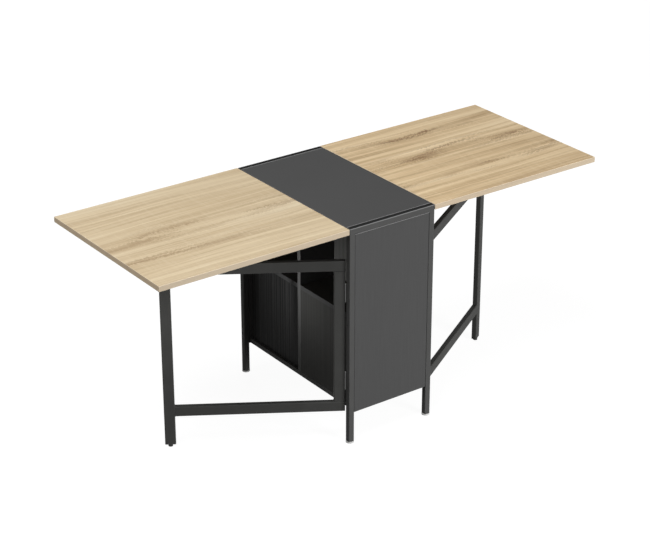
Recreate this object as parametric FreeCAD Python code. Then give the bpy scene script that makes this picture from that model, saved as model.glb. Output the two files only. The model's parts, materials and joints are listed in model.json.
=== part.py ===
"""Folding dining table: a narrow storage cabinet, two leaves, and a swinging gate under each leaf.

Millimetres. The origin is on the floor under the middle of the table, +X runs along the
table's length, +Y to its rear and +Z up. The left half lies at -X, and the right half is its mirror.
"""
import FreeCAD, Part
import os
from FreeCAD import Vector

# Overall sizes
table_height = 750.0
table_length = 1690.0
table_depth = 618.0
cabinet_width = 330.0
top_thickness = 18.0
leaf_gap = 2.0

# Square tube of the two end frames
post_size = 20.0
tube_wall = 1.5
tube_corner = 3.0

# Boards of the storage cabinet
board = 15.0
divider_thickness = 16.0
partition_thickness = 10.0
back_thickness = 12.0
rear_back_setback = 10.0
side_recess = 25.0
panel_recess = 2.0
cabinet_bottom = 108.0
shelf_top = 440.0
edge_rounding = 1.0

# Round feet under the posts
foot_diameter = 27.0
foot_height = 5.0
foot_gap = 0.3
foot_rounding = 1.0
stud_radius = 4.0
stud_length = 20.0
insert_length = 18.0
running_fit = 0.05

# Gates: flat oval-edged tube, wide side in the gate's own plane
gate_tube_width = 35.0
gate_tube_depth = 18.0
gate_open_angle = 57.8
gate_bottom = 110.0
gate_top_drop = 95.0
gate_end_clearance = 1.0
leg_foot_diameter = 15.0
leg_foot_height = 9.0
leg_cap_height = 3.0
leg_top_gap = 0.3
plug_depth = 20.0
plug_fit = 0.1

# Gate hinges: a pair of butt hinges between post and stile
hinge_height = 62.0
lower_hinge_rise = 76.0
upper_hinge_drop = 74.0
hinge_plate = 1.2
hinge_plate_gap = 0.3
hinge_plate_width = 19.0
knuckle_radius = 2.2
knuckle_stand_off = 0.5
knuckle_gap = 0.3
middle_knuckle = 20.4
pin_radius = 1.1
pin_head_radius = 1.8
pin_head_height = 1.0
hinge_screw_spread = 36.0

# Leaf hinges: under the joint between the leaf and the centre top
leaf_hinge_length = 60.0
leaf_hinge_places = (-190.0, 0.0, 190.0)
leaf_knuckle_gap = 0.5
leaf_plate_width = 18.0
leaf_plate_clearance = 0.5

# Fasteners
hinge_screw_radius = 1.6
hinge_screw_head = 3.0
wall_screw_length = 9.0
wood_screw_length = 11.0
frame_screw_radius = 2.0
frame_screw_head = 4.0
frame_screw_bite = 28.0
frame_screw_inset = 90.0
shelf_pin_radius = 2.5
shelf_pin_in = 6.0
shelf_pin_out = 9.0
shelf_pin_from_back = 18.0
dowel_radius = 4.0
dowel_length = 20.0
dowel_in_board = 8.0
divider_dowel_inset = 31.0
partition_dowel_inset = 50.0
partition_dowel_radius = 3.0

# Places worked out from the sizes above
half_width = cabinet_width / 2
half_depth = table_depth / 2
half_length = table_length / 2
top_underside = table_height - top_thickness
rail_underside = table_height - post_size
inner_depth = half_depth - post_size
inner_width = half_width - post_size
carcass_half = half_width - side_recess
panel_outer = half_depth - panel_recess
panel_inner = inner_depth
floor_top = cabinet_bottom + board
shelf_underside = shelf_top - board
divider_half = divider_thickness / 2
partition_half = partition_thickness / 2
shelf_pin_inset = rear_back_setback + back_thickness + shelf_pin_from_back
post_bottom = foot_height + foot_gap

# The gate's pivot, and its own directions while it is folded into the cabinet's side
plates_thick = 2 * hinge_plate + hinge_plate_gap
pivot_x = -half_width - knuckle_stand_off
pivot_y = -inner_depth + plates_thick / 2
gate_start = -inner_depth + plates_thick
gate_end = inner_depth - gate_end_clearance
gate_outer = -half_width
leg_start = gate_end - gate_tube_width
leg_top = top_underside - leg_top_gap
gate_top = top_underside - gate_top_drop
low_rail_top = gate_bottom + gate_tube_width
top_rail_low = gate_top - gate_tube_width
hinge_centres = (low_rail_top + lower_hinge_rise, top_rail_low - upper_hinge_drop)

leaf_pivot_x = -half_width - leaf_gap / 2
leaf_pivot_z = top_underside - leaf_knuckle_gap - knuckle_radius

UP = Vector(0, 0, 1)
REARWARD = Vector(0, 1, 0)
RIGHT = Vector(1, 0, 0)


def block(x0, x1, y0, y1, z0, z1):
    """Solid box between two corners."""
    return Part.makeBox(x1 - x0, y1 - y0, z1 - z0, Vector(x0, y0, z0))


def rod(radius, length, start, along):
    return Part.makeCylinder(radius, length, start, along)


def edges_along(shape, direction):
    """Straight edges of a shape that run in a direction."""
    found = []
    for edge in shape.Edges:
        way = edge.tangentAt(edge.FirstParameter)
        if abs(abs(way.dot(direction)) - 1) < 1e-6:
            found.append(edge)
    return found


def eased(board, outward):
    """Board with the edges around one of its faces slightly rounded."""
    for face in board.Faces:
        if face.normalAt(0, 0).dot(outward) > 0.999:
            return board.makeFillet(edge_rounding, face.Edges)


def tube(x0, x1, y0, y1, z0, z1, along):
    """Rectangular tube with rounded long edges and open ends."""
    outer = block(x0, x1, y0, y1, z0, z1)
    outer = outer.makeFillet(tube_corner, edges_along(outer, along))
    side = Vector(tube_wall, tube_wall, tube_wall) - along * tube_wall
    inner = block(x0 + side.x, x1 - side.x, y0 + side.y, y1 - side.y, z0 + side.z, z1 - side.z)
    return outer.cut(inner)


def group(solids):
    """Several separate solids kept as one piece."""
    return solids[0] if len(solids) == 1 else Part.makeCompound(solids)


def drill(shape, fasteners):
    """Holes for a list of fasteners."""
    return shape.cut(fasteners)


def mirrored(shape, normal):
    return shape.mirror(Vector(0, 0, 0), normal)


def swung(shape):
    """A gate piece turned from folded to the open angle of the table in use."""
    turned = shape.copy()
    turned.rotate(Vector(pivot_x, pivot_y, 0), UP, gate_open_angle)
    return turned


def countersunk_screw(head_centre, along, length):
    """Flush screw whose head just fills a hinge plate, pointing into the piece behind the plate."""
    head = Part.makeCone(hinge_screw_head, hinge_screw_radius, hinge_plate, head_centre, along)
    return head.fuse(rod(hinge_screw_radius, length, head_centre, along))


def knuckle_spans(centre, length):
    """Start and length of the three knuckles along a hinge: the lower, the middle and the upper one."""
    end_length = (length - middle_knuckle) / 2 - knuckle_gap
    low = centre - length / 2
    high = centre + length / 2 - end_length
    return (low, end_length), (centre - middle_knuckle / 2, middle_knuckle), (high, end_length)


def hinge_leaf(plate, spans, other_spans, axis_point, along):
    """Hinge plate with its knuckles, cleared around the other plate's knuckles and bored for the pin."""
    def place(span):
        return axis_point + along * span[0]

    shape = plate
    for span in other_spans:
        start = (span[0] - knuckle_gap, span[1] + 2 * knuckle_gap)
        shape = shape.cut(rod(knuckle_radius + knuckle_gap, start[1], place(start), along))
    for span in spans:
        shape = shape.fuse(rod(knuckle_radius, span[1], place(span), along))
    low = min(span[0] for span in spans + other_spans)
    high = max(span[0] + span[1] for span in spans + other_spans)
    bore = rod(pin_radius + running_fit, high - low, axis_point + along * low, along)
    return shape.cut(bore).removeSplitter()


def hinge_pin(centre, length, axis_point, along):
    """Pin through the knuckles, with a small head past the last one."""
    start = axis_point + along * (centre - length / 2)
    end = axis_point + along * (centre + length / 2 + knuckle_gap)
    return rod(pin_radius, length + knuckle_gap, start, along).fuse(
        rod(pin_head_radius, pin_head_height, end, along))


def gate_hinges():
    """Both butt hinges of the left gate, folded: post plates, gate plates, pins and their screws."""
    axis_point = Vector(pivot_x, pivot_y, 0)
    inner = gate_outer + hinge_plate_width - knuckle_stand_off
    screw_x = gate_outer + hinge_plate_width / 2
    post_plates, gate_plates, pins, post_screws, gate_screws = [], [], [], [], []
    for centre in hinge_centres:
        low, middle, high = knuckle_spans(centre, hinge_height)
        z0, z1 = centre - hinge_height / 2, centre + hinge_height / 2
        post_plate = block(pivot_x, inner, -inner_depth, -inner_depth + hinge_plate, z0, z1)
        gate_plate = block(pivot_x, inner, gate_start - hinge_plate, gate_start, z0, z1)
        post_plate = hinge_leaf(post_plate, [low, high], [middle], axis_point, UP)
        gate_plate = hinge_leaf(gate_plate, [middle], [low, high], axis_point, UP)
        for offset in (-hinge_screw_spread / 2, hinge_screw_spread / 2):
            post_head = Vector(screw_x, -inner_depth + hinge_plate, centre + offset)
            gate_head = Vector(screw_x, gate_start - hinge_plate, centre + offset)
            post_screws.append(countersunk_screw(post_head, -REARWARD, wall_screw_length))
            gate_screws.append(countersunk_screw(gate_head, REARWARD, wall_screw_length))
        post_plates.append(drill(post_plate, post_screws[-2:]))
        gate_plates.append(drill(gate_plate, gate_screws[-2:]))
        pins.append(hinge_pin(centre, hinge_height, axis_point, UP))
    return post_plates, gate_plates, pins, post_screws, gate_screws


def leaf_hinges():
    """The left leaf's hinges: plates under the centre top, plates under the leaf, pins and screws."""
    axis_point = Vector(leaf_pivot_x, 0, leaf_pivot_z)
    z0, z1 = top_underside - hinge_plate, top_underside
    top_plates, leaf_plates, pins, top_screws, leaf_screws = [], [], [], [], []
    for centre in leaf_hinge_places:
        low, middle, high = knuckle_spans(centre, leaf_hinge_length)
        y0, y1 = centre - leaf_hinge_length / 2, centre + leaf_hinge_length / 2
        top_start = leaf_pivot_x + leaf_plate_clearance
        leaf_start = leaf_pivot_x - leaf_plate_clearance
        top_plate = block(top_start, leaf_pivot_x + leaf_plate_width, y0, y1, z0, z1)
        leaf_plate = block(leaf_pivot_x - leaf_plate_width, leaf_start, y0, y1, z0, z1)
        top_plate = hinge_leaf(top_plate, [low, high], [middle], axis_point, REARWARD)
        leaf_plate = hinge_leaf(leaf_plate, [middle], [low, high], axis_point, REARWARD)
        reach = (knuckle_radius + leaf_plate_width) / 2
        for offset in (-hinge_screw_spread / 2, hinge_screw_spread / 2):
            top_head = Vector(leaf_pivot_x + reach, centre + offset, z0)
            leaf_head = Vector(leaf_pivot_x - reach, centre + offset, z0)
            top_screws.append(countersunk_screw(top_head, UP, wood_screw_length))
            leaf_screws.append(countersunk_screw(leaf_head, UP, wood_screw_length))
        top_plates.append(drill(top_plate, top_screws[-2:]))
        leaf_plates.append(drill(leaf_plate, leaf_screws[-2:]))
        pins.append(hinge_pin(centre, leaf_hinge_length, axis_point, REARWARD))
    return top_plates, leaf_plates, pins, top_screws, leaf_screws


def frame_screws():
    """Screws of the front left post, through its outer and inner walls into the end panel's edge."""
    lowest, highest = cabinet_bottom + frame_screw_inset, rail_underside - frame_screw_inset
    screws = []
    for height in (lowest, (lowest + highest) / 2, highest):
        start = Vector(-half_width, -(panel_outer + panel_inner) / 2, height)
        shank = rod(frame_screw_radius, post_size + frame_screw_bite, start, RIGHT)
        screws.append(rod(frame_screw_head, tube_wall, start, RIGHT).fuse(shank))
    return screws


def mitre(length):
    """Wedge that cuts the front left corner of an end frame at 45 degrees, on the post's side."""
    corner = Vector(-half_width, -length, table_height)
    across = Vector(-half_width + post_size, -length, rail_underside)
    above = Vector(-half_width + post_size, -length, table_height)
    face = Part.Face(Part.makePolygon([corner, across, above, corner]))
    return face.extrude(Vector(0, 2 * length, 0))


def front_left_post(screws, hinge_screws):
    """Corner post, mitred into the top rail and drilled for its fasteners."""
    outer_x, inner_x = -half_width, -inner_width
    post = tube(outer_x, inner_x, -half_depth, -inner_depth, post_bottom, table_height, UP)
    return drill(post.cut(mitre(table_depth)), screws + hinge_screws)


def front_top_rail():
    """Top rail of the front end frame, mitred at both ends."""
    rail = tube(-half_width, half_width, -half_depth, -inner_depth, rail_underside, table_height, RIGHT)
    full = block(-half_width, half_width, -half_depth, half_depth, rail_underside, table_height)
    left_end = block(-half_width, -inner_width, -half_depth, half_depth, rail_underside, table_height)
    cut_left = left_end.cut(mitre(table_depth))
    kept = full.cut([cut_left, mirrored(cut_left, RIGHT)])
    return rail.common(kept)


def post_foot():
    """Round foot under the front left post, with the stud that turns in the post's insert."""
    centre = Vector(-half_width + post_size / 2, -half_depth + post_size / 2, 0)
    disc = rod(foot_diameter / 2, foot_height, centre, UP)
    rims = [edge for edge in disc.Edges if edge.Closed and len(edge.Vertexes) == 1]
    disc = disc.makeFillet(foot_rounding, rims)
    return disc.fuse(rod(stud_radius, stud_length, centre + UP * foot_height, UP))


def foot_insert():
    """Plug that closes the front left post's lower end and carries the foot's stud."""
    x0, y0 = -half_width + tube_wall, -half_depth + tube_wall
    size = post_size - 2 * tube_wall
    plug = Part.makeBox(size, size, insert_length, Vector(x0, y0, post_bottom))
    centre = Vector(x0 + size / 2, y0 + size / 2, post_bottom)
    return plug.cut(rod(stud_radius + running_fit, insert_length, centre, UP))


def shelf_pins():
    """Pins under both shelves, some in the end panels and some in the divider."""
    length = shelf_pin_in + shelf_pin_out
    pins = []
    for side in (-1, 1):
        x = side * (carcass_half - shelf_pin_inset)
        height = shelf_underside - shelf_pin_radius
        pins.append(rod(shelf_pin_radius, length, Vector(x, -panel_inner - shelf_pin_in, height), REARWARD))
        pins.append(rod(shelf_pin_radius, length, Vector(x, -divider_half - shelf_pin_out, height), REARWARD))
    return pins + [mirrored(pin, REARWARD) for pin in pins]


def divider_dowels():
    """Dowels between the divider and the bottom board below it and the centre top above it."""
    dowels = []
    for side in (-1, 1):
        x = side * (carcass_half - divider_dowel_inset)
        dowels.append(rod(dowel_radius, dowel_length, Vector(x, 0, floor_top - dowel_in_board), UP))
        low = top_underside + dowel_in_board - dowel_length
        dowels.append(rod(dowel_radius, dowel_length, Vector(x, 0, low), UP))
    return dowels


def partition_dowels():
    """Dowels that hold both upper partitions up to the centre top."""
    low = top_underside + dowel_in_board - dowel_length
    dowels = []
    for y in (divider_half + partition_dowel_inset, panel_inner - partition_dowel_inset):
        for side in (-1, 1):
            dowels.append(rod(partition_dowel_radius, dowel_length, Vector(0, side * y, low), UP))
    return dowels


def cabinet():
    """Every board of the storage cabinet by name, drilled for its pins, dowels and screws."""
    left_screws = frame_screws()
    left_screws += [mirrored(screw, REARWARD) for screw in left_screws]
    screws = left_screws + [mirrored(screw, RIGHT) for screw in left_screws]
    pins = shelf_pins()
    upright_dowels = divider_dowels()
    top_dowels = partition_dowels()

    front_panel = block(-inner_width, inner_width, -panel_outer, -panel_inner, cabinet_bottom, rail_underside)
    front_panel = drill(eased(front_panel, -REARWARD), screws + pins)
    shelf = block(-carcass_half, carcass_half, -panel_inner, -divider_half, shelf_underside, shelf_top)
    partition = block(-partition_half, partition_half, -panel_inner, -divider_half, shelf_top, top_underside)
    partition = drill(partition, top_dowels)
    back = block(-carcass_half, back_thickness - carcass_half, -panel_inner, -divider_half,
                 floor_top, shelf_underside)
    floor = block(-carcass_half, carcass_half, -panel_inner, panel_inner, cabinet_bottom, floor_top)
    divider = block(-carcass_half, carcass_half, -divider_half, divider_half, floor_top, top_underside)
    top = block(-half_width, half_width, -inner_depth, inner_depth, top_underside, table_height)
    return {
        "front_end_panel": front_panel,
        "rear_end_panel": mirrored(front_panel, REARWARD),
        "front_shelf": shelf,
        "rear_shelf": mirrored(shelf, REARWARD),
        "front_upper_partition": partition,
        "rear_upper_partition": mirrored(partition, REARWARD),
        "front_lower_back": back,
        "rear_lower_back": mirrored(back, REARWARD).translated(RIGHT * rear_back_setback),
        "bottom_board": drill(floor, upright_dowels),
        "centre_divider": drill(divider, pins + upright_dowels),
        "centre_top": drill(eased(top, UP), upright_dowels + top_dowels),
        "shelf_pins": group(pins),
        "dowels": group(upright_dowels + top_dowels),
        "frame_screws": group(screws),
    }


def end_frames(hinge_screws):
    """Posts, top rails, feet and inserts of both end frames by name."""
    near_screws = frame_screws()
    hinged_post = front_left_post(near_screws, hinge_screws)
    plain_post = mirrored(front_left_post(near_screws, []), REARWARD)
    rail = front_top_rail()
    foot = post_foot()
    inserts = [foot_insert()]
    inserts.append(mirrored(inserts[0], REARWARD))
    inserts += [mirrored(insert, RIGHT) for insert in inserts]
    return {
        "front_left_post": hinged_post,
        "front_right_post": mirrored(hinged_post, RIGHT),
        "rear_left_post": plain_post,
        "rear_right_post": mirrored(plain_post, RIGHT),
        "front_top_rail": rail,
        "rear_top_rail": mirrored(rail, REARWARD),
        "front_left_foot": foot,
        "front_right_foot": mirrored(foot, RIGHT),
        "rear_left_foot": mirrored(foot, REARWARD),
        "rear_right_foot": mirrored(mirrored(foot, REARWARD), RIGHT),
        "foot_inserts": group(inserts),
    }


def leg_plug(low, high):
    """Plug that fits inside the gate leg's tube between two heights."""
    inset = tube_wall + plug_fit
    return block(gate_outer + inset, gate_outer + gate_tube_depth - inset,
                 leg_start + inset, gate_end - inset, low, high)


def gate(plates, pins, screws):
    """The left gate's pieces by name, still folded into the cabinet's side."""
    inner = gate_outer + gate_tube_depth
    cap_low = leg_top - leg_cap_height
    leg = tube(gate_outer, inner, leg_start, gate_end, leg_foot_height, cap_low, UP)
    stile_end = gate_start + gate_tube_width
    stile = tube(gate_outer, inner, gate_start, stile_end, low_rail_top, top_rail_low, UP)
    leg_middle = Vector(gate_outer + gate_tube_depth / 2, gate_end - gate_tube_width / 2, 0)
    foot = rod(leg_foot_diameter / 2, leg_foot_height, leg_middle, UP)
    cap = block(gate_outer, inner, leg_start, gate_end, cap_low, leg_top)
    cap = cap.makeFillet(tube_corner, edges_along(cap, UP))
    return {
        "leg": leg,
        "stile": drill(stile, screws),
        "top_rail": tube(gate_outer, inner, gate_start, leg_start, top_rail_low, gate_top, REARWARD),
        "bottom_rail": tube(gate_outer, inner, gate_start, leg_start, gate_bottom, low_rail_top, REARWARD),
        "leg_foot": foot.fuse(leg_plug(leg_foot_height, leg_foot_height + plug_depth)),
        "leg_cap": cap.fuse(leg_plug(cap_low - plug_depth, cap_low)),
        "hinge_plates": group(plates),
        "hinge_pins": group(pins),
        "hinge_screws": group(screws),
    }


def leaf(plates, pins, screws):
    """The left leaf's pieces by name, in line with the centre top."""
    panel = block(-half_length, -half_width - leaf_gap, -half_depth, half_depth, top_underside, table_height)
    return {
        "panel": drill(panel.makeFillet(edge_rounding, panel.Edges), screws),
        "hinge_plates": group(plates),
        "hinge_pins": group(pins),
        "hinge_screws": group(screws),
    }


def both_sides(pieces, name):
    """A set of left pieces and their mirror on the right, named by side."""
    named = {}
    for piece, shape in pieces.items():
        named[f"left_{name}_{piece}"] = shape
        named[f"right_{name}_{piece}"] = mirrored(shape, RIGHT)
    return named


def whole_table():
    """Every piece of the table by name, open as in use."""
    post_plates, gate_plates, gate_pins, post_screws, gate_screws = gate_hinges()
    top_plates, leaf_plates, leaf_pins, top_screws, leaf_screws = leaf_hinges()
    open_gate = {piece: swung(shape) for piece, shape in gate(gate_plates, gate_pins, gate_screws).items()}

    pieces = cabinet()
    pieces.update(end_frames(post_screws))
    both_top_screws = top_screws + [mirrored(screw, RIGHT) for screw in top_screws]
    both_post_screws = post_screws + [mirrored(screw, RIGHT) for screw in post_screws]
    pieces["centre_top"] = drill(pieces["centre_top"], both_top_screws)
    pieces["top_hinge_screws"] = group(both_top_screws)
    pieces["post_hinge_screws"] = group(both_post_screws)
    pieces.update(both_sides({"hinge_plates": group(post_plates)}, "post"))
    pieces.update(both_sides({"hinge_plates": group(top_plates)}, "top"))
    pieces.update(both_sides(open_gate, "gate"))
    pieces.update(both_sides(leaf(leaf_plates, leaf_pins, leaf_screws), "leaf"))
    return pieces


os.makedirs("parts", exist_ok=True)
for name, shape in whole_table().items():
    shape.exportStep(f"parts/{name}.step")
    print(name, len(shape.Solids), round(shape.Volume, 1), shape.isValid())
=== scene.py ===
# %% [markdown]
# # A folding dining table, dressed for its picture
# The table is a narrow charcoal cabinet with a light oak leaf hinged to each side. Under each leaf a tube
# gate swings out of the cabinet's side and carries it. The solids of every board, tube and hinge come from
# the imported model, so this lesson adds only what a solid can't hold: finishes, light, thin trims, and the
# small marks that assembly leaves, such as screw recesses and weld beads. Some finishes carry painted
# highlights and painted shade, and some trims are pale beads and dark strips that stand in for them.

# %% Load the imported table
import json
import math
import bmesh
import bpy
import numpy
from mathutils import Matrix, Quaternion, Vector


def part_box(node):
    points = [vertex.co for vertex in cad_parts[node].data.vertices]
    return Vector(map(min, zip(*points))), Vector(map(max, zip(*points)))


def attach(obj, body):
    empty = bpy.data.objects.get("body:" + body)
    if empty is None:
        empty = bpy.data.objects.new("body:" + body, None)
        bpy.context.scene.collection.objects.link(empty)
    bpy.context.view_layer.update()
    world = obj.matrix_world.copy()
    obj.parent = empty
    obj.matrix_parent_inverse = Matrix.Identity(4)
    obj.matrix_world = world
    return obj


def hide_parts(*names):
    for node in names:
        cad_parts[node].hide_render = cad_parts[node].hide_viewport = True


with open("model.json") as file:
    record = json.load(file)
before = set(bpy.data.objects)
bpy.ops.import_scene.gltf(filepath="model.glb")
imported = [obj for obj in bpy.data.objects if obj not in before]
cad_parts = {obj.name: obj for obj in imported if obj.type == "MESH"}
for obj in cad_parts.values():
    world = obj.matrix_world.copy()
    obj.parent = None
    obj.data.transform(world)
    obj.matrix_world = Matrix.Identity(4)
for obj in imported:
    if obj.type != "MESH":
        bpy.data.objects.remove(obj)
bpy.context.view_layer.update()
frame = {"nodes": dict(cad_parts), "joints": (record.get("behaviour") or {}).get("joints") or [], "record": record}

joints = {joint["name"]: joint for joint in frame["joints"]}

# %% [markdown]
# ## Camera
# A catalogue picture is often taken from far off with a long lens, so that the long edges stay nearly
# parallel. The place and the lens were worked out from the corners of the leaves, posts and feet. The
# camera could be turned by three angles, but a viewing direction is easier to read.

# %% Place the camera
lens_mm = 107.446
sensor_mm = 36.0
camera_place = Vector((-3.3845, -4.6294, 3.1416))
viewing_direction = Vector((0.52988, 0.73264, -0.42716))
camera_roll = -0.0012
camera_data = bpy.data.cameras.new("catalogue_camera")
camera_data.lens = lens_mm
camera_data.sensor_width = sensor_mm
camera = bpy.data.objects.new("catalogue_camera", camera_data)
camera.location = camera_place
level_view = viewing_direction.to_track_quat("-Z", "Y")
camera.rotation_euler = (level_view @ Quaternion((0, 0, 1), camera_roll)).to_euler()
bpy.context.scene.collection.objects.link(camera)
bpy.context.scene.camera = camera
bpy.context.scene.view_settings.view_transform = "Standard"
print("camera", tuple(camera_place), "lens", lens_mm)

# %% [markdown]
# ## Helpers for node trees
# Every finish below is a small tree of nodes, and so is every piece that repeats. Wiring them one line at a
# time would hide the idea, so one helper makes a node, sets its options, and links each input that is given
# as another node's output. A second one does sums.

# %% Helpers for nodes
def wire(owner, kind, inputs=None, **options):
    """Adds a node: an input given as a socket is linked, anything else becomes its value."""
    tree = getattr(owner, "node_tree", owner)
    node = tree.nodes.new(kind)
    for name, value in options.items():
        setattr(node, name, value)
    for key, value in (inputs or {}).items():
        if isinstance(value, bpy.types.NodeSocket):
            tree.links.new(value, node.inputs[key])
        else:
            node.inputs[key].default_value = value
    return node


def maths(owner, operation, first, second=0.0, **options):
    """Result of an operation on one or two numbers."""
    return wire(owner, "ShaderNodeMath", {0: first, 1: second}, operation=operation, **options).outputs[0]


def seen_directly(owner):
    """1 where the camera sees a surface straight, in a mirror or through glass, and 0 for other light."""
    path = wire(owner, "ShaderNodeLightPath").outputs
    in_sight = maths(owner, "ADD", path["Is Camera Ray"], path["Is Glossy Ray"])
    return maths(owner, "ADD", in_sight, path["Is Transmission Ray"], use_clamp=True)


print("node helpers ready")

# %% [markdown]
# ## Studio: white surroundings and a pale floor
# The picture has a pure white ground. More lamps would bleach the oak, so the white is given only to rays
# that see the surroundings directly, and the table itself is lit at a plain level. The floor still receives
# light, which leaves a soft shadow around the feet.

# %% White surroundings
pure_white = (1, 1, 1, 1)
ambient_strength = 0.13
seen_strength = 1.0
world = bpy.data.worlds.new("white_studio")
bpy.context.scene.world = world
world.use_nodes = True
world.node_tree.nodes.clear()
ambient = wire(world, "ShaderNodeBackground", {"Color": pure_white, "Strength": ambient_strength})
ground = wire(world, "ShaderNodeBackground", {"Color": pure_white, "Strength": seen_strength})
surroundings = wire(world, "ShaderNodeMixShader",
                    {0: seen_directly(world), 1: ambient.outputs[0], 2: ground.outputs[0]})
wire(world, "ShaderNodeOutputWorld", {"Surface": surroundings.outputs[0]})
print("ambient strength", ambient_strength)

# %% Pale floor
floor_half = 30.0
floor_colour = (0.14, 0.14, 0.14, 1)
floor_glow = 0.94
floor_paint = bpy.data.materials.new("pale_floor")
floor_paint.use_nodes = True
floor_paint.node_tree.nodes.clear()
floor_matt = wire(floor_paint, "ShaderNodeBsdfDiffuse", {"Color": floor_colour})
floor_lift = wire(floor_paint, "ShaderNodeEmission", {"Color": pure_white, "Strength": floor_glow})
floor_white = wire(floor_paint, "ShaderNodeAddShader", {0: floor_matt.outputs[0], 1: floor_lift.outputs[0]})
floor_mix = wire(floor_paint, "ShaderNodeMixShader",
                 {0: seen_directly(floor_paint), 1: floor_matt.outputs[0], 2: floor_white.outputs[0]})
wire(floor_paint, "ShaderNodeOutputMaterial", {"Surface": floor_mix.outputs[0]})
floor_mesh = bpy.data.meshes.new("floor")
floor_corners = [(-floor_half, -floor_half, 0), (floor_half, -floor_half, 0),
                 (floor_half, floor_half, 0), (-floor_half, floor_half, 0)]
floor_mesh.from_pydata(floor_corners, [], [(0, 1, 2, 3)])
floor_mesh.materials.append(floor_paint)
floor = bpy.data.objects.new("floor", floor_mesh)
bpy.context.scene.collection.objects.link(floor)
print("floor", 2 * floor_half, "m wide")

# %% [markdown]
# ## Lamps
# In the picture the cabinet's front is as bright as its top, the tops of the gate rails are nearly black,
# and the faces to the left are dark, with a pool of light in the middle of the bays. So the surroundings
# give only a small even part. A wide low lamp in front reaches under the leaves, one high on the left lights
# the tops and the left end, and a weak one straight from the left, narrowed as by a grid, makes the pool. A
# wide low one behind keeps the far sides from going black. It stays out of mirrored light, because the
# leaves' edges would flare where they are seen at a low angle. A sun would be simpler, but its shadows would
# be hard.

# %% Four soft lamps
def soft_lamp(name, place, target, width, power, height=None, spread=180.0, mirrored=True):
    """Round or oval lamp aimed at a target, narrowed to a spread and kept out of mirrors if asked."""
    data = bpy.data.lights.new(name, "AREA")
    data.shape = "ELLIPSE"
    data.size = width
    data.size_y = height or width
    data.energy = power
    data.spread = math.radians(spread)
    lamp = bpy.data.objects.new(name, data)
    lamp.location = place
    lamp.rotation_euler = (Vector(target) - Vector(place)).to_track_quat("-Z", "Y").to_euler()
    lamp.visible_glossy = mirrored
    bpy.context.scene.collection.objects.link(lamp)
    return lamp


table_middle = (0.0, 0.0, 0.45)
bays_middle = (-0.15, -0.01, 0.45)
lamps = [soft_lamp("front_lamp", (1.2, -5.6, 1.4), table_middle, width=2.6, power=298.0),
         soft_lamp("top_lamp", (-2.4, -0.7, 5.6), table_middle, width=3.2, power=236.0),
         soft_lamp("pool_lamp", (-3.9, -0.1, 0.45), bays_middle, width=0.3, power=0.17, spread=7.0),
         soft_lamp("back_lamp", (1.9, 5.2, 0.5), table_middle, width=3.0, power=150.0, height=0.7,
                   mirrored=False)]
print("lamps", {lamp.name: lamp.data.energy for lamp in lamps})

# %% [markdown]
# ## Patterns shared by the finishes
# Wood, board and paint all need noise stretched along one direction, a share of one colour over another,
# and a little bump. Object coordinates are metres on the table itself, so a pattern keeps its real size
# and stays put when a piece swings.

# %% Pattern helpers
def new_finish(name):
    """Material with an empty node tree."""
    finish = bpy.data.materials.new(name)
    finish.use_nodes = True
    finish.node_tree.nodes.clear()
    return finish


def position(finish):
    """Place on the table in metres."""
    return wire(finish, "ShaderNodeTexCoord").outputs["Object"]


def grain(finish, where, per_metre, detail=2.0, roughness=0.5, shift=(0, 0, 0)):
    """Noise with a number of features per metre along each axis, from 0 to 1 around a half."""
    placed = wire(finish, "ShaderNodeMapping", {"Vector": where, "Scale": per_metre, "Location": shift})
    noise = wire(finish, "ShaderNodeTexNoise",
                 {"Vector": placed.outputs[0], "Scale": 1.0, "Detail": detail, "Roughness": roughness})
    return noise.outputs["Fac"]


def ramp(finish, factor, stops):
    """Colour ramp through (place, colour) stops."""
    node = wire(finish, "ShaderNodeValToRGB", {"Fac": factor})
    stops_in = node.color_ramp.elements
    while len(stops_in) < len(stops):
        stops_in.new(1.0)
    for element, (place, colour) in zip(stops_in, stops):
        element.position = place
        element.color = (*colour, 1)
    return node.outputs["Color"]


def between(finish, factor, low, high, out_low=0.0, out_high=1.0):
    """A factor's range from low to high turned into another range, without going past it."""
    node = wire(finish, "ShaderNodeMapRange", {"Value": factor, "From Min": low, "From Max": high,
                                              "To Min": out_low, "To Max": out_high})
    return node.outputs["Result"]


def mixed(finish, factor, under, over, way="MIX"):
    """Second colour over the first by a factor."""
    node = wire(finish, "ShaderNodeMix", {0: factor, 6: under, 7: over}, data_type="RGBA", blend_type=way)
    return node.outputs[2]


print("pattern helpers ready")

# %% [markdown]
# ## Rounded edges and the end of every finish
# A rounded edge catches light that the flat faces miss, and on a thin rounding only a few pixels show it, so
# the finishes paint a highlight there. The rounding could be picked out face by face, but the direction of the
# surface already tells where it is: a flat face points along one axis, and a rounding points between two.
# Every finish then ends in one shader.

# %% Edge mask and shader
mm = 0.001
flat_facing = 0.985
round_facing = 0.75


def rounded_edge(finish, turn=0.0):
    """Mask for the painted highlight on a piece's roundings, turned about Z, 1 between its square faces, and its
    normal's three sizes.
    """
    normal = wire(finish, "ShaderNodeTexCoord").outputs["Normal"]
    square = wire(finish, "ShaderNodeVectorRotate", {"Vector": normal, "Angle": -turn},
                  rotation_type="Z_AXIS")
    size = wire(finish, "ShaderNodeVectorMath", {0: square.outputs[0]}, operation="ABSOLUTE")
    parts = wire(finish, "ShaderNodeSeparateXYZ", {0: size.outputs[0]}).outputs
    most = maths(finish, "MAXIMUM", maths(finish, "MAXIMUM", parts[0], parts[1]), parts[2])
    return between(finish, most, flat_facing, round_facing), parts


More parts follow.
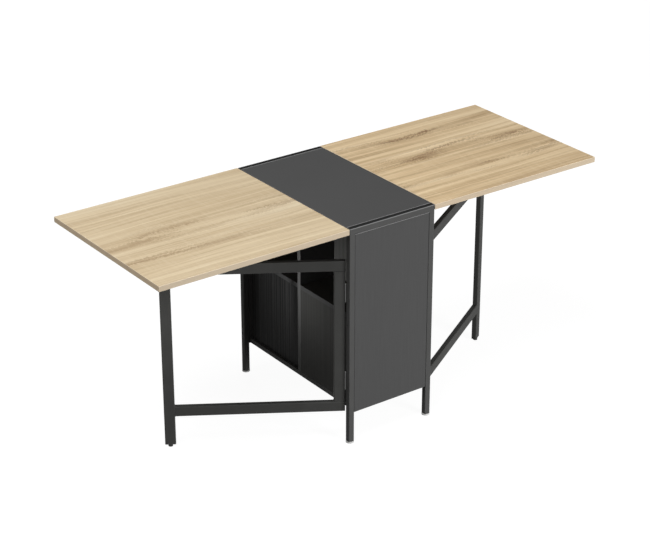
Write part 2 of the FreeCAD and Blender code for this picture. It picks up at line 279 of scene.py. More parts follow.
def finished(finish, colour, roughness, height, height_mm, **sockets):
    """Ends a finish in one shader with its colour, roughness and bump."""
    bump = wire(finish, "ShaderNodeBump", {"Height": height, "Strength": 1.0, "Distance": height_mm * mm})
    inputs = {"Base Color": colour, "Roughness": roughness, "Normal": bump.outputs[0]}
    inputs.update({name.replace("_", " "): value for name, value in sockets.items()})
    shader = wire(finish, "ShaderNodeBsdfPrincipled", inputs)
    wire(finish, "ShaderNodeOutputMaterial", {"Surface": shader.outputs[0]})
    return finish


print("edges shine where the surface faces an axis by less than", flat_facing)

# %% [markdown]
# ## Light oak melamine
# The leaves are chipboard with a printed oak face: long soft bands along the table, finer streaks in them,
# and a few rows of broken brown heart whose sides are feathered by short saw marks across the grain. A
# picture of oak would be quicker, but layered noise has no seams and no repeat. A slow sway bends all streaks
# together, as growth does, and a quick one pushes the heart to and fro, which draws the feathers. The edges
# carry a plain band that covers the pattern there; it is painted darker along the sides and lighter at the
# ends as light and shade, and the rounding above it gets a painted highlight.

# %% Recipe of the oak
growth_sway = 0.010
saw_push = 0.0015
feather_push = 0.009
band_places = (0.33, 0.45, 0.54, 0.67)
streak_share = 0.20
heart_core = 0.2
saw_mark_share = 0.16
pore_share = 0.16
pore_depth_mm = 0.05
oak_band_share = 0.85
painted_edge_highlight_share = 0.8
heart_brown = (0.265, 0.160, 0.075, 1)
# Painted light and shade: the edge band is lighter on the ends than on the sides, and the rounding gets a painted
# highlight.
side_band_shade_colour = (0.493, 0.410, 0.309, 1)
end_band_light_colour = (0.760, 0.600, 0.420, 1)
painted_edge_highlight = (0.900, 0.820, 0.690, 1)


def pushed(finish, where, noise, reach):
    """A place moved to and fro across the grain by a noise."""
    aside = wire(finish, "ShaderNodeCombineXYZ", {1: between(finish, noise, 0.2, 0.8, -reach, reach)})
    return wire(finish, "ShaderNodeVectorMath", {0: where, 1: aside.outputs[0]}, operation="ADD").outputs[0]


def oak_finish(name, band_colours, heart_rows, heart_share, sheet):
    """Printed oak along X, from four band colours and rows of brown heart at (Y, half width)."""
    oak = new_finish(name)
    place = wire(oak, "ShaderNodeMapping", {"Vector": position(oak), "Location": sheet}).outputs[0]
    growth = pushed(oak, place, grain(oak, place, (1.6, 4.0, 4.0), detail=1.0), growth_sway)
    sawing = grain(oak, place, (150.0, 30.0, 30.0), detail=1.0)
    roughened = pushed(oak, growth, sawing, saw_push)
    feathered = pushed(oak, growth, sawing, feather_push)
    bands = grain(oak, roughened, (0.8, 30.0, 30.0), detail=4.0, roughness=0.68)
    colour = ramp(oak, bands, list(zip(band_places, band_colours)))
    streaks = grain(oak, roughened, (1.8, 105.0, 105.0), detail=2.0)
    streaked = between(oak, streaks, 0.36, 0.64, 0.0, streak_share)
    colour = mixed(oak, streaked, colour, (*band_colours[0], 1), "MULTIPLY")
    patches = between(oak, grain(oak, growth, (3.4, 14.0, 14.0), detail=1.0), 0.42, 0.60)
    lines = between(oak, grain(oak, feathered, (3.0, 60.0, 60.0), detail=3.0), 0.46, 0.56)
    broken = maths(oak, "MULTIPLY", maths(oak, "MULTIPLY", patches, lines), heart_share)
    across = wire(oak, "ShaderNodeSeparateXYZ", {0: growth}).outputs[1]
    for row, half_width in heart_rows:
        away = maths(oak, "ABSOLUTE", maths(oak, "SUBTRACT", across, row))
        near = between(oak, away, half_width, heart_core * half_width)
        colour = mixed(oak, maths(oak, "MULTIPLY", near, broken), colour, heart_brown)
    saw_marks = grain(oak, place, (170.0, 14.0, 14.0), detail=1.0)
    marked = between(oak, saw_marks, 0.5, 0.7, 0.0, saw_mark_share)
    colour = mixed(oak, marked, colour, (*band_colours[3], 1))
    pores = grain(oak, growth, (9.0, 900.0, 900.0), detail=1.0)
    colour = mixed(oak, between(oak, pores, 0.60, 0.75, 0.0, pore_share), colour, heart_brown)
    rounding, facing = rounded_edge(oak)
    # Painted light and shade on the edge band, then a painted highlight on the rounding.
    band = mixed(oak, between(oak, facing[0], 0.70, 0.95), side_band_shade_colour, end_band_light_colour)
    colour = mixed(oak, between(oak, facing[2], 0.60, 0.35, 0.0, oak_band_share), colour, band)
    colour = mixed(oak, maths(oak, "MULTIPLY", rounding, painted_edge_highlight_share), colour, painted_edge_highlight)
    roughness = between(oak, streaks, 0.2, 0.8, 0.46, 0.60)
    return finished(oak, colour, roughness, pores, pore_depth_mm, Specular_IOR_Level=0.12)


print("oak recipe with bands at", band_places)

# %% [markdown]
# ## A sheet of oak for each leaf
# Two leaves cut from one sheet would show the same streaks twice. Each comes from a sheet of its own: the
# left one is paler, and the right one is warmer and has more heart in it. The same recipe makes both, moved
# along to another stretch of the noise.

# %% Two sheets of oak
pale_bands = ((0.545, 0.421, 0.267), (0.668, 0.535, 0.351), (0.728, 0.595, 0.400), (0.795, 0.677, 0.486))
warm_bands = ((0.505, 0.358, 0.198), (0.680, 0.512, 0.305), (0.775, 0.596, 0.365), (0.880, 0.718, 0.480))
left_hearts = ((0.0, 0.07), (-0.13, 0.04))
right_hearts = ((0.04, 0.07), (-0.14, 0.06), (0.21, 0.04))
left_oak = oak_finish("pale_oak_melamine", pale_bands, left_hearts, heart_share=0.50, sheet=(7.3, 0.0, 0.0))
right_oak = oak_finish("warm_oak_melamine", warm_bands, right_hearts, heart_share=0.96, sheet=(0.0, 0.0, 0.0))
print("oak finishes", left_oak.name, right_oak.name)

# %% [markdown]
# ## Charcoal board
# The cabinet's boards have an even dark melamine face with a hardly visible upright grain. Boards that end
# at the open sides have a paler edge band there. The backs of the lower bays and the partitions of the upper
# ones show upright lines, each in a tone of its own: painted shade makes the front back darker and the rear
# back near black in its dark lines, and painted light makes the partitions paler. The rounded outer edges get
# a little painted highlight, so each panel is outlined by a thin pale line. Separate recipes would drift apart,
# so one makes all of them, and the lines are noise that is wide along Z and narrow along X and Y.

# %% Charcoal boards
cloud_share = 0.3
board_band_share = 0.9
board_shine_share = 0.85
# Painted highlight on the rounded outer edges.
board_painted_highlight = (0.27, 0.27, 0.27, 1)


def board_finish(name, low, high, per_metre, height_mm, side_edge=None):
    """Melamine whose tone and bump follow one upright grain, with an edge band on its sides if given."""
    finish = new_finish(name)
    place = position(finish)
    lines = grain(finish, place, per_metre, detail=2.0, roughness=0.6)
    cloud = grain(finish, place, (5.0, 5.0, 2.0), detail=2.0, shift=(0.4, 2.2, 1.1))
    tone = wire(finish, "ShaderNodeMix", {0: cloud_share, 2: lines, 3: cloud}).outputs[0]
    colour = ramp(finish, tone, [(0.35, low), (0.65, high)])
    rounding, facing = rounded_edge(finish)
    if side_edge:
        sideways = between(finish, facing[0], 0.7, 0.95, 0.0, board_band_share)
        colour = mixed(finish, sideways, colour, side_edge)
    # Painted highlight on the roundings.
    colour = mixed(finish, maths(finish, "MULTIPLY", rounding, board_shine_share), colour, board_painted_highlight)
    roughness = between(finish, lines, 0.2, 0.8, 0.52, 0.66)
    return finished(finish, colour, roughness, lines, height_mm, Specular_IOR_Level=0.03)


charcoal = ((0.071, 0.071, 0.071), (0.077, 0.077, 0.077))
banded_edge = (0.14, 0.14, 0.138, 1)
fine_grain = (260.0, 260.0, 9.0)
long_lines = (210.0, 210.0, 0.6)
board = board_finish("charcoal_board", *charcoal, fine_grain, height_mm=0.02)
banded_board = board_finish("banded_charcoal_board", *charcoal, fine_grain, height_mm=0.02,
                            side_edge=banded_edge)
# Copies of the same melamine in other tones: painted shade on the lower bays' backs, painted light on the upper
# partitions.
shaded_closing_board = board_finish("shaded_closing_charcoal_board", (0.050, 0.050, 0.048), (0.070, 0.070, 0.067),
                             long_lines, height_mm=0.10)
lit_partition_board = board_finish("lit_partition_charcoal_board", (0.070, 0.070, 0.067), (0.098, 0.098, 0.094),
                               long_lines, height_mm=0.10)
shaded_lined_board = board_finish("shaded_lined_charcoal_board", (0.006, 0.006, 0.006), (0.060, 0.060, 0.060),
                           per_metre=(190.0, 190.0, 0.5), height_mm=0.25)
boards = (board, banded_board, shaded_closing_board, lit_partition_board, shaded_lined_board)
print("boards", [finish.name for finish in boards])

# %% [markdown]
# ## Powder-coated tube
# The frames and gates are steel tube under a satin powder coat, charcoal like the boards on the end frames;
# the gates' copy is painted blacker as shade. Powder flows out to a fine orange peel, so the coat has tiny soft
# waves and an almost even colour, and the rounded corners get a painted highlight, most on the end frames'
# top edges. Plain paint would look like the boards. The gates stand open, turned about Z, so their corners are
# found after turning the surface direction back.

# %% Powder coats
film_share = 0.6
# Colour of the painted highlight on the coat's rounded corners.
coat_painted_highlight = (0.26, 0.26, 0.26, 1)


def coat_finish(name, low, high, side_shine, top_shine, turn=0.0):
    """Satin powder coat with orange peel and a painted highlight on its corners, by shares for upright and level
    ones.
    """
    finish = new_finish(name)
    place = position(finish)
    peel = grain(finish, place, (700.0, 700.0, 700.0), detail=1.0)
    film = grain(finish, place, (16.0, 16.0, 16.0), detail=2.0)
    tone = wire(finish, "ShaderNodeMix", {0: film_share, 2: peel, 3: film}).outputs[0]
    colour = ramp(finish, tone, [(0.3, low), (0.7, high)])
    rounding, facing = rounded_edge(finish, turn)
    # Painted highlight on the corners, stronger on level ones.
    shine = between(finish, facing[2], 0.15, 0.45, side_shine, top_shine)
    colour = mixed(finish, maths(finish, "MULTIPLY", rounding, shine), colour, coat_painted_highlight)
    roughness = between(finish, film, 0.3, 0.7, 0.44, 0.54)
    return finished(finish, colour, roughness, peel, height_mm=0.02, Specular_IOR_Level=0.03)


frame_coat = coat_finish("charcoal_powder_coat", (0.071, 0.071, 0.070), (0.080, 0.080, 0.079),
                         side_shine=0.12, top_shine=0.75)
gate_turn = {}
shaded_gate_coat = {}
for side in ("left", "right"):
    swing = joints[f"{side}_gate_swing"]
    gate_turn[side] = math.radians(-swing["range_deg"][0]) * swing["axis"][2]
    # The gates' copy of the coat is painted darker, as shade.
    shaded_gate_coat[side] = coat_finish(f"{side}_gate_shaded_powder_coat", (0.047, 0.047, 0.045), (0.056, 0.056, 0.054),
                                  side_shine=0.15, top_shine=0.08, turn=gate_turn[side])
print("gates stand open by", {side: round(math.degrees(turn), 1) for side, turn in gate_turn.items()})

# %% [markdown]
# ## Metals, plastics and beech
# Hinges are rolled steel, dark plated, with fine lines along the roll. Screws and pins are zinc, a little
# cloudy. The caps and gate feet are moulded black plastic with a fine matt texture, the round feet a pale
# one, and the dowels are plain beech. Each could have a tree of its own, but they are small, so all of them
# are one recipe with other numbers.

# %% Small finishes
def small_finish(name, low, high, per_metre, rough, height_mm, **sockets):
    """A finish whose colour, roughness and bump follow one stretched noise."""
    finish = new_finish(name)
    pattern = grain(finish, position(finish), per_metre, detail=2.0)
    colour = ramp(finish, pattern, [(0.3, low), (0.7, high)])
    roughness = between(finish, pattern, 0.2, 0.8, rough[0], rough[1])
    return finished(finish, colour, roughness, pattern, height_mm, **sockets)


rolled_steel = small_finish("rolled_hinge_steel", (0.10, 0.10, 0.10), (0.16, 0.16, 0.158),
                            per_metre=(900.0, 900.0, 60.0), rough=(0.36, 0.50), height_mm=0.01,
                            Metallic=1.0)
zinc = small_finish("zinc_fastener", (0.50, 0.50, 0.48), (0.70, 0.70, 0.68),
                    per_metre=(420.0, 420.0, 420.0), rough=(0.28, 0.46), height_mm=0.01, Metallic=1.0)
black_plastic = small_finish("moulded_black_plastic", (0.010, 0.010, 0.010), (0.022, 0.022, 0.021),
                             per_metre=(800.0, 800.0, 800.0), rough=(0.46, 0.62), height_mm=0.03,
                             Specular_IOR_Level=0.30)
pale_plastic = small_finish("moulded_pale_plastic", (0.56, 0.56, 0.55), (0.70, 0.70, 0.69),
                            per_metre=(500.0, 500.0, 500.0), rough=(0.30, 0.42), height_mm=0.02)
beech = small_finish("plain_beech", (0.50, 0.34, 0.20), (0.72, 0.54, 0.36),
                     per_metre=(300.0, 300.0, 12.0), rough=(0.50, 0.68), height_mm=0.05)
print("small finishes", [finish.name for finish in (rolled_steel, zinc, black_plastic, pale_plastic, beech)])

# %% [markdown]
# ## Dress the solids
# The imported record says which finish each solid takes, so the finishes go on by that name, apart from a few
# solids with one of their own. They could be named one by one, but a new solid would then stay bare. A solid
# keeps its mesh and its place, and only its material changes.

# %% Put the finishes on
finishes = {"oak_melamine": left_oak, "charcoal_board": board, "charcoal_tube": frame_coat,
            "hinge_steel": rolled_steel, "zinc_fastener": zinc, "black_plastic": black_plastic,
            "pale_foot": pale_plastic, "beech_dowel": beech}
own_finish = {"right_leaf_panel": right_oak, "rear_lower_back": shaded_lined_board,
              "front_lower_back": shaded_closing_board, "front_upper_partition": lit_partition_board,
              "rear_upper_partition": lit_partition_board, "centre_divider": banded_board,
              "bottom_board": banded_board}
for side in gate_turn:
    for tube in ("leg", "stile", "top_rail", "bottom_rail"):
        own_finish[f"{side}_gate_{tube}"] = shaded_gate_coat[side]
slot_of = {subpart["node"]: subpart["material_slot"] for subpart in frame["record"]["subparts"]}
for node, solid in frame["nodes"].items():
    solid.data.materials.clear()
    solid.data.materials.append(own_finish.get(node, finishes[slot_of[node]]))
print("dressed", len(slot_of), "solids,", len(own_finish), "with a finish of their own")

# %% [markdown]
# ## Pieces that repeat or follow a line
# Screws, weld beads and edge beads are all small shapes set out by a rule, which is what Geometry Nodes are
# for. Each tree has its sizes as named inputs. It runs once on a mesh of points or lines, the result becomes
# a plain mesh, and the piece then rides on the body that carries it. Loops in plain mesh code could do it
# too, but a tree shows its sizes at a glance.

# %% Grow a piece from a tree
def new_tree(name, inputs):
    """Empty tree with a geometry input and named inputs, and the sockets that they come from."""
    tree = bpy.data.node_groups.new(name, "GeometryNodeTree")
    tree.interface.new_socket("Geometry", in_out="INPUT", socket_type="NodeSocketGeometry")
    for label, kind in inputs.items():
        tree.interface.new_socket(label, in_out="INPUT", socket_type=f"NodeSocket{kind}")
    tree.interface.new_socket("Geometry", in_out="OUTPUT", socket_type="NodeSocketGeometry")
    return tree, wire(tree, "NodeGroupInput").outputs


def close_tree(tree, shape, finish):
    """Ends a tree in plain geometry with one finish."""
    whole = wire(tree, "GeometryNodeRealizeInstances", {0: shape})
    dressed = wire(tree, "GeometryNodeSetMaterial", {"Geometry": whole.outputs[0], "Material": finish})
    wire(tree, "NodeGroupOutput", {"Geometry": dressed.outputs[0]})


def grown(name, tree, start, values):
    """Runs a tree on a mesh with named values and keeps the result as a plain mesh."""
    piece = bpy.data.objects.new(name, start)
    modifier = piece.modifiers.new("grow", "NODES")
    modifier.node_group = tree
    for socket in tree.interface.items_tree:
        if socket.in_out == "INPUT" and socket.name in values:
            modifier[socket.identifier] = values[socket.name]
    bpy.context.scene.collection.objects.link(piece)
    shape = bpy.data.meshes.new_from_object(piece.evaluated_get(bpy.context.evaluated_depsgraph_get()))
    piece.modifiers.clear()
    piece.data = shape
    return piece


def settled(piece, body, slot, stands_for=None):
    """Lets a piece ride on its body and stand for a solid; the slot is not used."""
    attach(piece, body)
    if stands_for:
        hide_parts(stands_for)
    print(piece.name, "on", body, len(piece.data.polygons), "faces")


body_of = {}
for body, nodes in frame["record"]["behaviour"]["bodies"].items():
    body_of.update({node: body for node in nodes})
print("bodies known for", len(body_of), "solids")

# %% [markdown]
# ## Screws with a cross recess
# The solids hold plain screws. A real one has a cross recess for the driver, and no two recesses stand at the
# same angle. The place, direction and size of each screw are measured on its solid: its longest direction is
# its axis, and the wider end is the head. The recess could be painted, but a cut one holds up close by.

# %% Measure the plain screws
merge_distance = 1e-6
end_tolerance = 1e-5


def screw_solids(node):
    """Point clouds of the separate screws in a node."""
    shape = bmesh.new()
    shape.from_mesh(frame["nodes"][node].data)
    bmesh.ops.remove_doubles(shape, verts=shape.verts, dist=merge_distance)
    waiting = set(shape.verts)
    while waiting:
        ready = [waiting.pop()]
        found = []
        while ready:
            vertex = ready.pop()
            found.append(vertex.co[:])
            near = {edge.other_vert(vertex) for edge in vertex.link_edges} & waiting
            waiting -= near
            ready.extend(near)
        yield numpy.array(found)
    shape.free()


def measured_screw(points):
    """Head centre, outward direction, length, head radius and shank radius of one screw."""
    middle = (points.min(axis=0) + points.max(axis=0)) / 2
    along = numpy.linalg.eigh(numpy.cov((points - points.mean(axis=0)).T))[1][:, 2]
    middle = middle + along * numpy.dot(points.mean(axis=0) - middle, along)
    reach = (points - middle) @ along
    across = numpy.linalg.norm(points - middle - numpy.outer(reach, along), axis=1)
    ends = {way: across[numpy.isclose(reach, end, atol=end_tolerance)].max()
            for way, end in ((1, reach.max()), (-1, reach.min()))}
    outward = max(ends, key=ends.get)
    length = reach.max() - reach.min()
    head = middle + along * (reach.max() if outward > 0 else reach.min())
    return head, along * outward, length, ends[outward], ends[-outward]


screw_nodes = [node for node in frame["nodes"] if node.endswith("_screws")]
screws = {node: [measured_screw(points) for points in screw_solids(node)] for node in screw_nodes}
print("screws", {node: len(found) for node, found in screws.items()})

# %% Shapes in a tree
def moved_up(tree, mesh, height):
    """A mesh moved along Z."""
    way = wire(tree, "ShaderNodeCombineXYZ", {2: height})
    return wire(tree, "GeometryNodeTransform", {"Geometry": mesh, "Translation": way.outputs[0]}).outputs[0]


def cut_by(tree, mesh, span, width, depth):
    """A mesh with a slot of a span, width and depth cut into its top at height 0."""
    above_and_below = maths(tree, "MULTIPLY", depth, 2.0)
    size = wire(tree, "ShaderNodeCombineXYZ", {0: span, 1: width, 2: above_and_below})
    slot = wire(tree, "GeometryNodeMeshCube", {"Size": size.outputs[0]})
    return wire(tree, "GeometryNodeMeshBoolean", {"Mesh 1": mesh, "Mesh 2": slot.outputs[0]},
                operation="DIFFERENCE").outputs[0]


print("shape helpers ready")

# %% Tree of a cross-recess screw
head_sides = 28
shank_sides = 16
shank_start_share = 0.9
second_cut_share = 0.85
screw_tree, given = new_tree("cross_recess_screw", {
    "Head Radius": "Float", "Under Radius": "Float", "Head Height": "Float", "Shank Radius": "Float",
    "Shank Length": "Float", "Recess Span": "Float", "Recess Width": "Float", "Recess Depth": "Float",
    "Seed": "Int", "Finish": "Material"})
head = wire(screw_tree, "GeometryNodeMeshCone", {
    "Vertices": head_sides, "Radius Top": given["Head Radius"], "Radius Bottom": given["Under Radius"],
    "Depth": given["Head Height"]})
below_top = maths(screw_tree, "MULTIPLY", given["Head Height"], -1.0)
head = moved_up(screw_tree, head.outputs[0], below_top)
shank = wire(screw_tree, "GeometryNodeMeshCylinder", {
    "Vertices": shank_sides, "Radius": given["Shank Radius"], "Depth": given["Shank Length"]})
shank_start = maths(screw_tree, "MULTIPLY", below_top, shank_start_share)
half_down = maths(screw_tree, "MULTIPLY", given["Shank Length"], -0.5)
shank = moved_up(screw_tree, shank.outputs[0], maths(screw_tree, "ADD", half_down, shank_start))
cut = cut_by(screw_tree, head, given["Recess Span"], given["Recess Width"], given["Recess Depth"])
shallower = maths(screw_tree, "MULTIPLY", given["Recess Depth"], second_cut_share)
cut = cut_by(screw_tree, cut, given["Recess Width"], given["Recess Span"], shallower)
screw = wire(screw_tree, "GeometryNodeJoinGeometry", {0: cut})
screw_tree.links.new(shank, screw.inputs[0])
print("screw from a head of", head_sides, "sides and a shank of", shank_sides)

# %% Set the screws out
outward = wire(screw_tree, "GeometryNodeInputNamedAttribute", {"Name": "outward"}, data_type="FLOAT_VECTOR")
facing = wire(screw_tree, "FunctionNodeAlignRotationToVector", {"Vector": outward.outputs[0]}, axis="Z")
quarter = wire(screw_tree, "FunctionNodeRandomValue", {2: 0.0, 3: math.pi / 2, 8: given["Seed"]},
               data_type="FLOAT")
twist = wire(screw_tree, "FunctionNodeAxisAngleToRotation",
             {"Axis": (0, 0, 1), "Angle": quarter.outputs[1]})
turned = wire(screw_tree, "FunctionNodeRotateRotation",
              {"Rotation": facing.outputs[0], "Rotate By": twist.outputs[0]}, rotation_space="LOCAL")
set_out = wire(screw_tree, "GeometryNodeInstanceOnPoints", {
    "Points": given["Geometry"], "Instance": screw.outputs[0], "Rotation": turned.outputs[0]})
close_tree(screw_tree, set_out.outputs[0], given["Finish"])
print("screw tree with", len(screw_tree.nodes), "nodes")

# %% Drive the screws
def points_facing(name, places, outward):
    """Loose points that each remember a direction."""
    mesh = bpy.data.meshes.new(name)
    mesh.from_pydata([tuple(place) for place in places], [], [])
    direction = mesh.attributes.new("outward", "FLOAT_VECTOR", "POINT")
    direction.data.foreach_set("vector", [float(value) for way in outward for value in way])
    return mesh


coated_screw = small_finish("coated_screw", (0.050, 0.050, 0.049), (0.075, 0.075, 0.074),
                            per_metre=(600.0, 600.0, 600.0), rough=(0.40, 0.52), height_mm=0.01,
                            Specular_IOR_Level=0.05)
tube_wall = 0.0015
hinge_plate = 0.0012
recess_span_share = 1.1
recess_width_share = 0.28
recess_depth_share = 0.6
for seed, (node, found) in enumerate(screws.items()):
    in_frame = node == "frame_screws"
    places, ways, lengths, head_radii, shank_radii = zip(*found)
    head_height = tube_wall if in_frame else hinge_plate
    head_radius = float(head_radii[0])
    shank_radius = float(shank_radii[0])
    start = points_facing(node + "_points", places, ways)
    piece = grown(node.replace("screws", "cross_screws"), screw_tree, start, {
        "Head Radius": head_radius,
        "Under Radius": head_radius if in_frame else shank_radius,
        "Head Height": head_height,
        "Shank Radius": shank_radius,
        "Shank Length": float(lengths[0]) - shank_start_share * head_height,
        "Recess Span": recess_span_share * head_radius,
        "Recess Width": recess_width_share * head_radius,
        "Recess Depth": recess_depth_share * head_height,
        "Seed": seed,
        "Finish": coated_screw if in_frame else zinc})
    settled(piece, body_of[node], "charcoal_tube" if in_frame else slot_of[node], node)

# %% [markdown]
# ## Beads at the end panels and the top's seams
# Each end panel has a thin rounded bead along its top, and so does the centre top where it meets the end
# frames' rails. The beads are paler than what they lie on and stand in as a painted highlight along these
# edges. A bevel would have to change the solids, so each bead is a round rod along a straight line, sunk in
# what it lies on by half or a little more.

# %% Tree of an edge bead
bead_sides = 14
bead_tree, given = new_tree("edge_bead", {"Bead Radius": "Float", "Finish": "Material"})
edge_line = wire(bead_tree, "GeometryNodeMeshToCurve", {"Mesh": given["Geometry"]})
section = wire(bead_tree, "GeometryNodeCurvePrimitiveCircle",
               {"Resolution": bead_sides, "Radius": given["Bead Radius"]})
rod = wire(bead_tree, "GeometryNodeCurveToMesh", {
    "Curve": edge_line.outputs[0], "Profile Curve": section.outputs["Curve"], "Fill Caps": True})
smooth_rod = wire(bead_tree, "GeometryNodeSetShadeSmooth", {"Geometry": rod.outputs[0]})
close_tree(bead_tree, smooth_rod.outputs[0], given["Finish"])
print("bead tree with", len(bead_tree.nodes), "nodes")

# %% Lay the edge beads
bead_radius = 0.0012
shadow_strip_width = 0.0010
seam_inset = 0.0030
seam_depth = 0.5 * bead_radius
# The beads' pale grey is a painted highlight along the edges.
bead_highlight_coat = small_finish("pale_highlight_bead", (0.190, 0.190, 0.190), (0.240, 0.240, 0.240),
                         per_metre=(300.0, 300.0, 300.0), rough=(0.34, 0.44), height_mm=0.01,
                         Specular_IOR_Level=0.10)
for end, face in (("front", 0), ("rear", 1)):
    low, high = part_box(f"{end}_end_panel")
    panel_top = [(x, (low, high)[face].y, high.z - shadow_strip_width - bead_radius)
                 for x in (low.x + shadow_strip_width, high.x - shadow_strip_width)]
    top_low, top_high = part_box("centre_top")
    seam = [(x, (top_low, top_high)[face].y, top_high.z - seam_depth)
            for x in (top_low.x + seam_inset, top_high.x - seam_inset)]
    start = bpy.data.meshes.new(f"{end}_bead_line")
    start.from_pydata(panel_top + seam, [(0, 1), (2, 3)], [])
    piece = grown(f"{end}_panel_bead", bead_tree, start, {"Bead Radius": bead_radius, "Finish": bead_highlight_coat})
    settled(piece, body_of[f"{end}_end_panel"], "charcoal_board")

# %% [markdown]
# ## Weld beads in the gates
# A gate is welded from four tubes. The outer faces are ground flush, and a short bead of overlapping ripples
# stays in each inner corner. A rod would be simpler, but a weld is a row of drops. The gates stand open, so
# the corners are found on the gate turned back to its folded place, where its tubes are square to the axes,
# and the lines are then turned out again.

# %% Corners of a folded gate
unfold = {}
for side, turn in gate_turn.items():
    pivot = Matrix.Translation(joints[f"{side}_gate_swing"]["pos_m"])
    unfold[side] = pivot @ Matrix.Rotation(turn, 4, "Z") @ pivot.inverted()


def folded_box(node, side):
    """Lowest and highest corner of a gate piece while the gate is folded."""
    fold = unfold[side].inverted()
    points = [fold @ vertex.co for vertex in frame["nodes"][node].data.vertices]
    return [Vector(pick(point[i] for point in points) for i in range(3)) for pick in (min, max)]


def corner_lines(side, inset):
    """Lines across the tubes at the inner corners of one gate, folded."""
    lines = []
    for rail in ("top_rail", "bottom_rail"):
        low, high = folded_box(f"{side}_gate_{rail}", side)
        lines += [(high.y, low.z), (high.y, high.z)]
    low, high = folded_box(f"{side}_gate_stile", side)
    lines += [(high.y, low.z), (high.y, high.z)]
    return [((low.x + inset, y, z), (high.x - inset, y, z)) for y, z in lines]


tube_corner = 0.003
welds = {side: corner_lines(side, tube_corner) for side in gate_turn}
print("welds", {side: len(lines) for side, lines in welds.items()})

# %% Tree of a weld bead
drop_segments = 12
drop_rings = 7
smallest_drop = 0.85
largest_drop = 1.12
weld_tree, given = new_tree("weld_bead", {"Bead Radius": "Float", "Ripple": "Float", "Seed": "Int",
                                          "Finish": "Material"})
weld_line = wire(weld_tree, "GeometryNodeMeshToCurve", {"Mesh": given["Geometry"]})
steps = wire(weld_tree, "GeometryNodeResampleCurve",
             {"Curve": weld_line.outputs[0], "Length": given["Ripple"]}, mode="LENGTH")
drop = wire(weld_tree, "GeometryNodeMeshUVSphere",
            {"Segments": drop_segments, "Rings": drop_rings, "Radius": given["Bead Radius"]})
uneven = wire(weld_tree, "FunctionNodeRandomValue", {2: smallest_drop, 3: largest_drop, 8: given["Seed"]},
              data_type="FLOAT")
ripples = wire(weld_tree, "GeometryNodeInstanceOnPoints", {
    "Points": steps.outputs[0], "Instance": drop.outputs[0], "Scale": uneven.outputs[1]})
soft_ripples = wire(weld_tree, "GeometryNodeSetShadeSmooth", {"Geometry": ripples.outputs[0]})
close_tree(weld_tree, soft_ripples.outputs[0], given["Finish"])
print("weld tree with", len(weld_tree.nodes), "nodes")

# %% Weld the gates
weld_radius = 0.0018
weld_ripple = 0.0015
for seed, side in enumerate(gate_turn):
    start = bpy.data.meshes.new(f"{side}_weld_lines")
    ends = [unfold[side] @ Vector(point) for line in welds[side] for point in line]
    start.from_pydata(ends, [(i, i + 1) for i in range(0, len(ends), 2)], [])
    piece = grown(f"{side}_gate_welds", weld_tree, start, {
        "Bead Radius": weld_radius, "Ripple": weld_ripple, "Seed": seed, "Finish": shaded_gate_coat[side]})
    settled(piece, f"{side}_gate", "charcoal_tube")

# %% [markdown]
# ## End caps of the gate rails
# The rails' ends at the hinge are open tube. A pressed-in plastic cap closes each: a thin flange with rounded
# corners, and a plug behind it. A tree of nodes could make it, but a box with two bevels is the whole shape,
# so plain mesh code does.

# %% Blocks with rounded corners
corner_steps = 4
rim_steps = 2
shortest_edge = 1e-7
level_facing = 0.9
across_y = 1
across_z = 2


def rounded_block(shape, low, high, corner, rim, flat_axis):
    """Adds a block to a mesh in the making, its corners rounded about one axis and its rims eased."""
    made = bmesh.ops.create_cube(shape, size=1.0)["verts"]
    middle = (Vector(low) + Vector(high)) / 2
    size = Vector(high) - Vector(low)
    for vertex in made:
        vertex.co = middle + Vector(vertex.co[i] * size[i] for i in range(3))
    edges = {edge for vertex in made for edge in vertex.link_edges}
    upright = [edge for edge in edges
               if abs((edge.verts[0].co - edge.verts[1].co)[flat_axis]) > shortest_edge]
    made = bmesh.ops.bevel(shape, geom=upright, offset=corner, segments=corner_steps, profile=0.5,
                           affect="EDGES")
    around = {edge for face in made["faces"] for edge in face.edges}
    flats = {face for edge in around for face in edge.link_faces
             if abs(face.normal[flat_axis]) > level_facing}
    rims = list({edge for face in flats for edge in face.edges})
    bmesh.ops.bevel(shape, geom=rims, offset=rim, segments=rim_steps, profile=0.5, affect="EDGES")


def plain_piece(name, shape, finish, place=None):
    """Turns a mesh in the making into an object with a finish."""
    bmesh.ops.recalc_face_normals(shape, faces=shape.faces)
    mesh = bpy.data.meshes.new(name)
    shape.to_mesh(mesh)
    shape.free()
    if place:
        mesh.transform(place)
    mesh.materials.append(finish)
    piece = bpy.data.objects.new(name, mesh)
    bpy.context.scene.collection.objects.link(piece)
    return piece


print("block helpers ready")

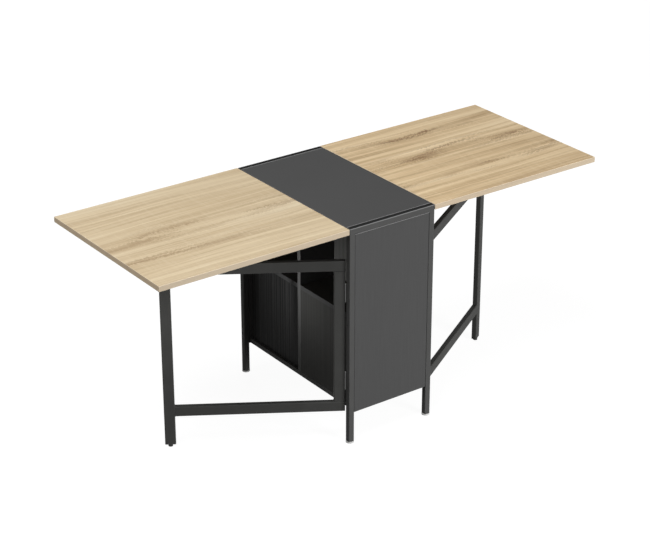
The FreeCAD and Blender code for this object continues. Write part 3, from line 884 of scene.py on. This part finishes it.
# %% Press the caps in
flange = 0.0010
flange_rim = 0.0003
plug_reach = 0.012
plug_rim = 0.0005
inside = Vector((tube_wall, 0, tube_wall))
for side in gate_turn:
    shape = bmesh.new()
    for rail in ("top_rail", "bottom_rail"):
        low, high = folded_box(f"{side}_gate_{rail}", side)
        rounded_block(shape, (low.x, low.y - flange, low.z), (high.x, low.y, high.z), tube_corner,
                      flange_rim, across_y)
        plug_end = Vector((high.x, low.y + plug_reach, high.z))
        rounded_block(shape, low + inside, plug_end - inside, tube_corner - tube_wall, plug_rim, across_y)
    piece = plain_piece(f"{side}_gate_rail_caps", shape, black_plastic, unfold[side])
    settled(piece, f"{side}_gate", "black_plastic")

# %% [markdown]
# ## Dark strips of painted shade on the end frames
# Along the front and the rear of the top runs a dark strip between two pale lines: the bead of the seam and
# the rail's own rounded edge. Each end panel has a narrow dark strip along its sides and its top, outside
# its bead. They are flat black blocks, hardly proud of what they lie on, that stand in for shade: painted
# shade on the rails' tops and painted shadow in the gaps along the panels. A painted line would do from afar,
# but a thin block also holds its edge close by.

# %% Strips of painted shade
strip_inset = 0.0028
strip_height = 0.0004
strip_corner = 0.0008
shadow_strip_corner = 0.0003
strip_rim = 0.0002
# Near-black strips as painted shade on the rails' tops and painted shadow beside the panels.
shadow_strip_finish = small_finish("painted_shadow_strip", (0.012, 0.012, 0.012), (0.020, 0.020, 0.020),
                           per_metre=(240.0, 600.0, 600.0), rough=(0.55, 0.70), height_mm=0.02,
                           Specular_IOR_Level=0.02)
for end in ("front", "rear"):
    low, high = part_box(f"{end}_top_rail")
    shape = bmesh.new()
    rounded_block(shape, (low.x + strip_inset, low.y + strip_inset, high.z - strip_height),
                  (high.x - strip_inset, high.y - strip_inset, high.z + strip_height),
                  strip_corner, strip_rim, across_z)
    panel_low, panel_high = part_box(f"{end}_end_panel")
    y = panel_low.y if end == "front" else panel_high.y
    for x in (panel_low.x, panel_high.x - shadow_strip_width):
        rounded_block(shape, (x, y - strip_height, panel_low.z),
                      (x + shadow_strip_width, y + strip_height, panel_high.z), shadow_strip_corner, strip_rim, across_y)
    rounded_block(shape, (panel_low.x + shadow_strip_width, y - strip_height, panel_high.z - shadow_strip_width),
                  (panel_high.x - shadow_strip_width, y + strip_height, panel_high.z),
                  shadow_strip_corner, strip_rim, across_y)
    piece = plain_piece(f"{end}_shadow_strips", shape, shadow_strip_finish)
    settled(piece, body_of[f"{end}_top_rail"], "black_plastic")
